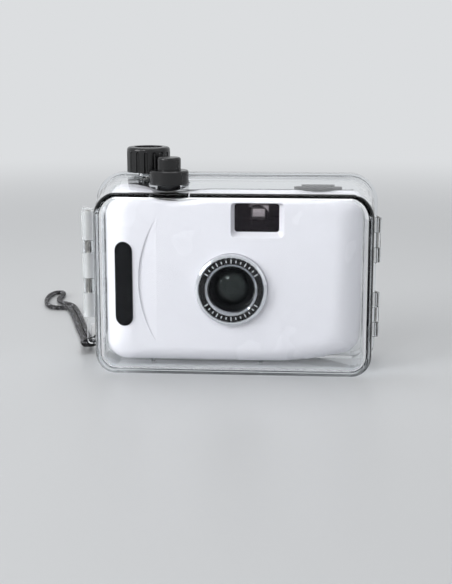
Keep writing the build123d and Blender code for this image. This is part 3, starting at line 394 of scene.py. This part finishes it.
# The shutter's blade is stamped spring steel, chemically blackened: dark with a dull shine
bladeLook = {
    "colours": ("1C1C1E", "232326"),
    "roughness": (0.35, 0.45),
    "lineSize": 0.6 * mm,
    "stretch": (1, 1, 0.1),
}
blackSteel = metal("blackenedSpringSteel", bladeLook)

# The ring is polished black ABS with a chrome plated inner bevel: a thin bright line round the lens
ringLook = {
    "ior": 1.45,
    "roughness": 0.07,
    "colour": "060607",
    "plating": "D4D6DA",
    "platedRadius": 11.28 * mm,
    "platedShares": (1.0, 0.0),      # inside that radius, and outside it
    "softEdge": 0.03 * mm,
}
ringPlastic = platedPlastic("blackAbsWithPlatedBevel", ringLook)

# The cup is the same plastic, plated on its rim, which catches the lamp as a crescent beside the lens
cupLook = {**ringLook, "platedRadius": 9.85 * mm, "platedShares": (0.0, 1.0)}
cupPlastic = platedPlastic("blackAbsWithPlatedRim", cupLook)

# The lenses are glass, ground and coated: they look dark, with one clear highlight
lensLook = {"ior": 1.6, "roughness": 0.01, "colour": "5A605E", "reflection": "DCE8E4"}
lensGlass = coatedLens("coatedLensGlass", lensLook)

# The viewfinder's and counter's windows are moulded acrylic: faintly smoky, with dim reflections
windowLook = {"ior": 1.49, "roughness": 0.02, "colour": "D8D2D4", "reflection": "A89CA4"}
windowAcrylic = coatedLens("mouldedWindowAcrylic", windowLook)
print("materials made")

finishes = {
    "housing_front_shell": clearAcrylic,
    "housing_back_shell": clearAcrylic,
    "latch_lever": clearPolycarbonate,
    "front_cover": whiteAbs,
    "winding_knob": grainedAbs,
    "shutter_cap": grainedAbs,
    "shutter_collar": grainedAbs,
    "grip_insert": polishedAbs,
    "lens_cup": cupPlastic,
    "lens_ring": ringPlastic,
    "lens_bezel": platedChrome,
    "front_lens": lensGlass,
    "rear_lens": lensGlass,
    "viewfinder_window": windowAcrylic,
    "viewfinder_tube": polishedAbs,
    "viewfinder_eyepiece": windowAcrylic,
    "counter_window": windowAcrylic,
    "housing_gasket": silicone,
    "winding_seal": silicone,
    "shutter_seal": silicone,
    "counter_dial": ivoryPolystyrene,
    "shutter_blade": blackSteel,
}
steelParts = (
    "hinge_pins", "latch_pin", "winding_shaft", "plunger_shaft", "plunger_clip", "plunger_spring",
    "release_spring", "cover_screws", "back_hinge_pin", "shutter_pin", "pressure_spring",
)


def finishNodes():
    # what isn't named above is the black inside of the camera
    for name, obj in nodes.items():
        material = finishes.get(name, drawnSteel if name in steelParts else mattAbs)
        obj.data.materials.clear()
        obj.data.materials.append(material)


finishNodes()
print("frame painted")


# Floor, lamps and world

studio = {
    "floorColour": "D6D8DA",
    "floorRoughness": 0.4,
    "floorRadius": 4.0,          # metres
    "floorSides": 96,
    "background": "DCDEE0",      # what the floor fades to, far from the object
    "fadeFrom": 0.35,            # metres from the object
    "fadeTo": 1.1,
    "worldStrength": 0.36,
    "bounces": 24,               # the clear walls guide light through many inner reflections
    "lampsAim": (0, 0, 0.04),    # metres, the middle of the housing
    "lamps": (
        # name, place and size in metres, power in watts
        ("keySoftbox", (-0.9, -0.56, 0.5), 0.5, 5.2),
        ("fillSoftbox", (0.8, -0.4, 0.45), 0.7, 0.4),
        ("windowSoftbox", (-0.3, -0.72, 0.5), 0.15, 0.8),
        ("topSoftbox", (-0.05, 0.2, 0.8), 0.6, 2.2),
    ),
}


def seenRays(tree):
    # one for what the camera sees, straight, mirrored or through clear plastic, and nought for soft light
    rays = addNode(tree, "ShaderNodeLightPath").outputs
    values = {name: rays[name] for name in ("Is Camera Ray", "Is Glossy Ray", "Is Transmission Ray")}
    workOut(tree, values, (
        ("mirrored", "MAXIMUM", "Is Camera Ray", "Is Glossy Ray"),
        ("seen", "MAXIMUM", "mirrored", "Is Transmission Ray"),
    ))
    return values["seen"]


def makeFloor():
    # a wide disc that fades into the background, so that no edge shows from any side
    mesh = bpy.data.meshes.new("studioFloor")
    sides, radius = studio["floorSides"], studio["floorRadius"]
    turns = [2 * math.pi * i / sides for i in range(sides)]
    mesh.from_pydata([(radius * math.cos(t), radius * math.sin(t), 0) for t in turns], [], [range(sides)])
    obj = bpy.data.objects.new("studioFloor", mesh)
    bpy.context.collection.objects.link(obj)
    material, tree, shader = newMaterial("paleFloorPaper", {
        "Base Color": hexColour(studio["floorColour"]), "Roughness": studio["floorRoughness"],
    })
    far = addNode(tree, "ShaderNodeEmission", None, {"Color": hexColour(studio["background"])})
    place = addNode(tree, "ShaderNodeTexCoord").outputs["Object"]
    reach = addNode(tree, "ShaderNodeVectorMath", {"operation": "LENGTH"}, {0: place})
    fade = addNode(tree, "ShaderNodeMapRange", {"interpolation_type": "SMOOTHSTEP"}, {
        "Value": reach.outputs["Value"], "From Min": studio["fadeFrom"], "From Max": studio["fadeTo"],
    })
    values = {"fade": fade.outputs["Result"], "seen": seenRays(tree)}
    workOut(tree, values, (("share", "MULTIPLY", "fade", "seen"),))
    blend = addNode(tree, "ShaderNodeMixShader", None, {
        0: values["share"], 1: shader.outputs[0], 2: far.outputs[0],
    })
    tree.links.new(blend.outputs[0], tree.nodes["Material Output"].inputs["Surface"])
    mesh.materials.append(material)


def makeLamps():
    for name, place, size, power in studio["lamps"]:
        data = bpy.data.lights.new(name, "AREA")
        data.shape = "SQUARE"
        data.size = size
        data.energy = power
        obj = bpy.data.objects.new(name, data)
        obj.location = place
        aim = Vector(studio["lampsAim"]) - Vector(place)
        obj.rotation_euler = aim.to_track_quat("-Z", "Y").to_euler()
        bpy.context.collection.objects.link(obj)


def makeWorld():
    # white soft light on the object, and the plain background where the camera sees past it
    world = bpy.data.worlds.new("softRoom")
    world.use_nodes = True
    tree = world.node_tree
    light = tree.nodes["Background"]
    light.inputs["Color"].default_value = (1, 1, 1, 1)
    light.inputs["Strength"].default_value = studio["worldStrength"]
    seen = addNode(tree, "ShaderNodeBackground", None, {
        "Color": hexColour(studio["background"]), "Strength": 1.0,
    })
    blend = addNode(tree, "ShaderNodeMixShader", None, {
        0: seenRays(tree), 1: light.outputs[0], 2: seen.outputs[0],
    })
    tree.links.new(blend.outputs[0], tree.nodes["World Output"].inputs["Surface"])
    bpy.context.scene.world = world


def setView():
    bpy.context.scene.view_settings.view_transform = "Standard"
    bpy.context.scene.cycles.max_bounces = studio["bounces"]
    bpy.context.scene.cycles.transmission_bounces = studio["bounces"]


makeFloor()
makeLamps()
makeWorld()
setView()
print("studio ready")


# Geometry Nodes: what the braids and the marks share

def newTree(name, sizes):
    # an empty tree with a named input for each size and for the material
    tree = bpy.data.node_groups.new(name, "GeometryNodeTree")
    for socket, kind in {"Geometry": "Geometry", **sizes, "material": "Material"}.items():
        tree.interface.new_socket(socket, in_out="INPUT", socket_type="NodeSocket" + kind)
    tree.interface.new_socket("Geometry", in_out="OUTPUT", socket_type="NodeSocketGeometry")
    return tree, addNode(tree, "NodeGroupInput").outputs


def endTree(tree, geometry, material):
    # copies are made real, because the export drops instances
    real = addNode(tree, "GeometryNodeRealizeInstances", None, {"Geometry": geometry})
    painted = addNode(tree, "GeometryNodeSetMaterial", None, {
        "Geometry": real.outputs[0], "Material": material,
    })
    addNode(tree, "NodeGroupOutput", None, {"Geometry": painted.outputs[0]})


def treeInput(tree, name):
    return next(s.identifier for s in tree.interface.items_tree if s.name == name and s.in_out == "INPUT")


def grown(obj, tree, name, values):
    # runs the tree on obj with these inputs and keeps its result as a plain mesh
    modifier = obj.modifiers.new(tree.name, "NODES")
    modifier.node_group = tree
    for key, value in values.items():
        modifier[treeInput(tree, key)] = value
    bpy.context.view_layer.update()
    evaluated = obj.evaluated_get(bpy.context.evaluated_depsgraph_get())
    mesh = bpy.data.meshes.new_from_object(evaluated)
    mesh.shade_smooth()
    result = bpy.data.objects.new(name, mesh)
    bpy.context.collection.objects.link(result)
    bpy.data.objects.remove(obj)
    return result


# Cords: the string at the lug and the wrist strap, along the same points as their solids, in millimetres

stringPoints = (
    (-68.03, 13.79, 5.2), (-67.3, 10.8, 6.0), (-65.6, 8.2, 8.6), (-64.5, 7.2, 10.9), (-64.5, 0.3, 10.9),
    (-68.9, 0.2, 10.3), (-70.6, 4.6, 8.3), (-71.0, 9.0, 6.2), (-69.97, 13.29, 5.2),
)
stringBraid = {
    "cordRadius": 0.5 * mm,
    "strandRadius": 0.24 * mm,
    "turnLength": 2.6 * mm,      # along the cord while a strand goes round it once
    "step": 0.2 * mm,            # between the points of a strand
    "strands": 3,
    "bothWays": 0.0,             # nought twists all strands one way, one weaves them
}
strapPoints = (
    (-72.75, 21.98, 3.38), (-76.8, 39.5, 1.45), (-82.0, 56.0, 1.45), (-87.5, 76.0, 1.45),
    (-93.6, 96.5, 1.45), (-98.0, 108.5, 1.45), (-104.5, 105.5, 1.45), (-110.5, 112.5, 1.45),
    (-114.0, 126.0, 1.45), (-115.0, 140.0, 1.45), (-112.9, 148.0, 1.45), (-108.4, 148.0, 1.45),
    (-107.1, 140.0, 1.45), (-108.1, 129.0, 1.45), (-104.0, 119.2, 1.45), (-96.4, 114.2, 1.45),
    (-90.6, 97.5, 1.45), (-84.5, 77.0, 1.45), (-79.0, 57.0, 1.45), (-73.8, 40.5, 1.45),
    (-69.75, 22.76, 3.38),
)
strapBraid = {
    "cordRadius": 1.4 * mm,
    "strandRadius": 0.42 * mm,
    "turnLength": 11.0 * mm,
    "step": 0.6 * mm,
    "strands": 8,
    "bothWays": 1.0,
}

# Both are nylon thread, the strap braided and the string twisted: dull black, with a soft sheen along each
# strand and pale flecks. Real filaments are a tenth of the fibre's size here, and wouldn't show
cordLook = {
    "colours": ("0C0C0E", "A8A8AE"),
    "roughness": 0.55,
    "sheen": 0.25,
    "sheenRoughness": 0.4,
    "fibre": 0.25 * mm,
    "fibreDepth": 0.0625 * mm,
    "fleck": 0.9 * mm,               # about a strand's width
    "fleckSpan": (0.55, 0.63),       # how high the noise rises before a fleck starts, and is full
}


def braidedNylon(name, look):
    material, tree, shader = newMaterial(name, {
        "Roughness": look["roughness"],
        "Sheen Weight": look["sheen"],
        "Sheen Roughness": look["sheenRoughness"],
    })
    start, full = look["fleckSpan"]
    flecks = addNode(tree, "ShaderNodeMapRange", None, {
        "Value": grainField(tree, look["fleck"], 1), "From Min": start, "From Max": full,
    })
    thread, fleck = look["colours"]
    colour = addNode(tree, "ShaderNodeMix", {"data_type": "RGBA"}, {
        0: flecks.outputs[0], 6: hexColour(thread), 7: hexColour(fleck),
    })
    bump = addNode(tree, "ShaderNodeBump", None, {
        "Strength": 1.0, "Distance": look["fibreDepth"], "Height": grainField(tree, look["fibre"], 2),
    })
    tree.links.new(colour.outputs[2], shader.inputs["Base Color"])
    tree.links.new(bump.outputs[0], shader.inputs["Normal"])
    return material


def braidTree():
    # strands wound both ways round a line, each passing over and under the others
    tree, given = newTree("braidedCord", {
        "cordRadius": "Float", "strandRadius": "Float", "turnLength": "Float", "step": "Float",
        "strands": "Int", "bothWays": "Float",
    })
    line = addNode(tree, "GeometryNodeResampleCurve", {"mode": "LENGTH"}, {
        "Curve": given["Geometry"], "Length": given["step"],
    })
    many = addNode(tree, "GeometryNodeDuplicateElements", {"domain": "SPLINE"}, {
        "Geometry": line.outputs[0], "Amount": given["strands"],
    })
    values = {socket.name: socket for socket in given}
    values["index"] = many.outputs["Duplicate Index"]
    values["along"] = addNode(tree, "GeometryNodeSplineParameter").outputs["Length"]
    workOut(tree, values, (
        ("odd", "MODULO", "index", 2),
        ("turnedBack", "MULTIPLY", "odd", 2),               # every other strand winds the other way
        ("turnedBack", "MULTIPLY", "turnedBack", "bothWays"),
        ("direction", "SUBTRACT", 1, "turnedBack"),
        ("start", "MULTIPLY", "index", 2 * math.pi),        # the strands start evenly round the cord
        ("start", "DIVIDE", "start", "strands"),
        ("wind", "DIVIDE", "along", "turnLength"),
        ("wind", "MULTIPLY", "wind", 2 * math.pi),
        ("angle", "MULTIPLY", "wind", "direction"),
        ("angle", "ADD", "angle", "start"),
        ("crossings", "DIVIDE", "strands", 2),              # over and under once at each crossing
        ("weave", "MULTIPLY", "wind", "crossings"),
        ("shift", "MULTIPLY", "odd", math.pi),
        ("weave", "ADD", "weave", "shift"),
        ("weave", "SINE", "weave"),
        ("weave", "MULTIPLY", "weave", "bothWays"),
        ("lift", "MULTIPLY", "strandRadius", 0.5),          # how far a strand rises over another
        ("lift", "MULTIPLY", "weave", "lift"),
        ("core", "MULTIPLY", "strandRadius", 1.5),          # so a lifted strand just reaches the outside
        ("core", "SUBTRACT", "cordRadius", "core"),
        ("reach", "ADD", "core", "lift"),
        ("cosine", "COSINE", "angle"),
        ("sine", "SINE", "angle"),
        ("across", "MULTIPLY", "reach", "cosine"),
        ("aside", "MULTIPLY", "reach", "sine"),
    ))
    tangent = addNode(tree, "GeometryNodeInputTangent").outputs[0]
    normal = addNode(tree, "GeometryNodeInputNormal").outputs[0]
    side = addNode(tree, "ShaderNodeVectorMath", {"operation": "CROSS_PRODUCT"}, {0: tangent, 1: normal})
    moves = {}
    for i, (axis, amount) in enumerate(((normal, "across"), (side.outputs[0], "aside"))):
        scaled = addNode(tree, "ShaderNodeVectorMath", {"operation": "SCALE"}, {
            0: axis, "Scale": values[amount],
        })
        moves[i] = scaled.outputs[0]
    outwards = addNode(tree, "ShaderNodeVectorMath", {"operation": "ADD"}, moves)
    moved = addNode(tree, "GeometryNodeSetPosition", None, {
        "Geometry": many.outputs[0], "Offset": outwards.outputs[0],
    })
    ring = addNode(tree, "GeometryNodeCurvePrimitiveCircle", None, {
        "Resolution": 6, "Radius": given["strandRadius"],      # six sides are enough for so thin a strand
    })
    tube = addNode(tree, "GeometryNodeCurveToMesh", None, {
        "Curve": moved.outputs[0], "Profile Curve": ring.outputs[0], "Fill Caps": True,
    })
    endTree(tree, tube.outputs[0], given["material"])
    return tree


def routeCurve(name, points):
    # one smooth line; its order is set after its points, or it would stay at straight runs
    curve = bpy.data.curves.new(name, "CURVE")
    curve.dimensions = "3D"
    spline = curve.splines.new("NURBS")
    spline.points.add(len(points) - 1)
    for point, place in zip(spline.points, points):
        point.co = (*(v * mm for v in place), 1)
    spline.order_u = 3
    spline.use_endpoint_u = True
    spline.resolution_u = 12
    obj = bpy.data.objects.new(name, curve)
    bpy.context.collection.objects.link(obj)
    bpy.context.view_layer.update()
    return obj


def routePlaces(obj):
    # the points that the curve runs through, read back from its own line
    evaluated = obj.evaluated_get(bpy.context.evaluated_depsgraph_get())
    line = bpy.data.meshes.new_from_object(evaluated)
    places = [tuple(v.co) for v in line.vertices]
    bpy.data.meshes.remove(line)
    return places


def makeCords():
    tree = braidTree()
    nylon = braidedNylon("braidedBlackNylon", cordLook)
    strapLine = routeCurve("strapLine", strapPoints)
    strapPath = routePlaces(strapLine)
    strap = grown(strapLine, tree, "wristStrap", {**strapBraid, "material": nylon})
    stringLine = routeCurve("stringLine", stringPoints)
    stringPath = routePlaces(stringLine)
    string = grown(stringLine, tree, "lugString", {**stringBraid, "material": nylon})
    for cord, node in ((strap, "strap_loop"), (string, "strap_string")):
        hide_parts(node)
        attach(cord, "housing")


makeCords()
print("cords laid")


# Springs that shorten under the buttons

coilMesh = {
    "weld": 0.001 * mm,      # points of the node's loose triangles that are closer than this are one
    "sharpAngle": 40,        # degrees, past which an edge stays sharp
}


def makeSprings():
    for joint in frame["record"]["behaviour"]["joints"]:
        for entry in joint.get("deforming_nodes", []):
            node = nodes[entry["node"]]
            mesh = node.data.copy()
            merged = bmesh.new()
            merged.from_mesh(mesh)
            bmesh.ops.remove_doubles(merged, verts=merged.verts, dist=coilMesh["weld"])
            merged.to_mesh(mesh)
            merged.free()
            mesh.shade_smooth()
            mesh.set_sharp_from_angle(angle=math.radians(coilMesh["sharpAngle"]))
            coil = bpy.data.objects.new(entry["node"] + "_coil", mesh)
            bpy.context.collection.objects.link(coil)
            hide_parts(entry["node"])
            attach(coil, joint["parent"])
            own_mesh(coil)


makeSprings()
print("springs fitted")


# Marks on the lens ring

ringMarks = {
    "radius": 12.55 * mm,
    "longMark": 1.7 * mm,
    "shortMark": 1.05 * mm,
    "markWidth": 0.42 * mm,
    "thickness": 0.06 * mm,
    "count": 13,
}
markArcs = {"ringMarksUpper": (32, 116), "ringMarksLower": (212, 116)}      # start and sweep, in degrees


def arcMarksTree():
    # short bars along an arc, every third one longer
    tree, given = newTree("arcMarks", {
        "radius": "Float", "startAngle": "Float", "sweepAngle": "Float", "longMark": "Float",
        "shortMark": "Float", "markWidth": "Float", "thickness": "Float", "count": "Int", "centre": "Vector",
    })
    arc = addNode(tree, "GeometryNodeCurveArc", {"mode": "RADIUS"}, {
        "Resolution": given["count"], "Radius": given["radius"],
        "Start Angle": given["startAngle"], "Sweep Angle": given["sweepAngle"],
    })
    size = addNode(tree, "ShaderNodeCombineXYZ", None, {
        "X": given["longMark"], "Y": given["markWidth"], "Z": given["thickness"],
    })
    bar = addNode(tree, "GeometryNodeMeshCube", None, {"Size": size.outputs[0]})
    values = {socket.name: socket for socket in given}
    values["index"] = addNode(tree, "GeometryNodeInputIndex").outputs[0]
    workOut(tree, values, (
        ("gaps", "SUBTRACT", "count", 1),
        ("share", "DIVIDE", "index", "gaps"),
        ("angle", "MULTIPLY", "sweepAngle", "share"),
        ("angle", "ADD", "startAngle", "angle"),
        ("ofThree", "MODULO", "index", 3),
        ("isShort", "GREATER_THAN", "ofThree", 0.5),
        ("less", "DIVIDE", "shortMark", "longMark"),
        ("less", "SUBTRACT", 1, "less"),
        ("less", "MULTIPLY", "isShort", "less"),
        ("length", "SUBTRACT", 1, "less"),
    ))
    turn = addNode(tree, "ShaderNodeCombineXYZ", None, {"Z": values["angle"]})
    stretch = addNode(tree, "ShaderNodeCombineXYZ", None, {"X": values["length"], "Y": 1.0, "Z": 1.0})
    bars = addNode(tree, "GeometryNodeInstanceOnPoints", None, {
        "Points": arc.outputs[0], "Instance": bar.outputs["Mesh"],
        "Rotation": turn.outputs[0], "Scale": stretch.outputs[0],
    })
    upright = addNode(tree, "GeometryNodeTransform", None, {
        "Geometry": bars.outputs[0], "Translation": given["centre"], "Rotation": (math.pi / 2, 0, 0),
    })
    endTree(tree, upright.outputs[0], given["material"])
    return tree


def makeRingMarks():
    tree = arcMarksTree()
    for name, (start, sweep) in markArcs.items():
        host = bpy.data.objects.new(name + "Host", bpy.data.meshes.new(name + "Host"))
        bpy.context.collection.objects.link(host)
        marks = grown(host, tree, name, {
            **ringMarks, "startAngle": math.radians(start), "sweepAngle": math.radians(sweep),
            "centre": list(frontCentre("lens_ring")), "material": silverInk,
        })
        marks.data.shade_flat()
        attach(marks, "housing")


makeRingMarks()
print("ring marked")


# Numbers on the counter's dial, for the pictures taken

dialNumbers = {
    "numbers": (0, 5, 10, 15, 20, 25, 30, 35),
    "radius": 4.7 * mm,
    "height": 2.0 * mm,
    "thickness": 0.04 * mm,
    "smoothness": 4,         # steps along each curve of a digit
}


def makeDialNumbers():
    # plain numbers printed round the dial, in black ink as glossy as the insert
    low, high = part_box("counter_dial")
    dialTop = Matrix.Translation(((low.x + high.x) / 2, (low.y + high.y) / 2, high.z))
    outwards = Matrix.Translation((0, dialNumbers["radius"], 0))
    joined = bpy.data.meshes.new("dialNumbers")
    points, faces = [], []
    for i, number in enumerate(dialNumbers["numbers"]):
        words = bpy.data.curves.new("dialNumber", "FONT")
        words.body = str(number)
        words.size = dialNumbers["height"]
        words.extrude = dialNumbers["thickness"]
        words.align_x = words.align_y = "CENTER"
        words.resolution_u = dialNumbers["smoothness"]
        obj = bpy.data.objects.new("dialNumber", words)
        bpy.context.collection.objects.link(obj)
        bpy.context.view_layer.update()
        mesh = bpy.data.meshes.new_from_object(obj.evaluated_get(bpy.context.evaluated_depsgraph_get()))
        angle = -2 * math.pi * i / len(dialNumbers["numbers"])
        mesh.transform(dialTop @ Matrix.Rotation(angle, 4, "Z") @ outwards)
        first = len(points)
        points += [tuple(v.co) for v in mesh.vertices]
        faces += [[first + v for v in polygon.vertices] for polygon in mesh.polygons]
        bpy.data.objects.remove(obj)
    joined.from_pydata(points, [], faces)
    joined.materials.append(polishedAbs)
    result = bpy.data.objects.new("dialNumbers", joined)
    bpy.context.collection.objects.link(result)
    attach(result, "counter")


makeDialNumbers()
print("dial numbered")
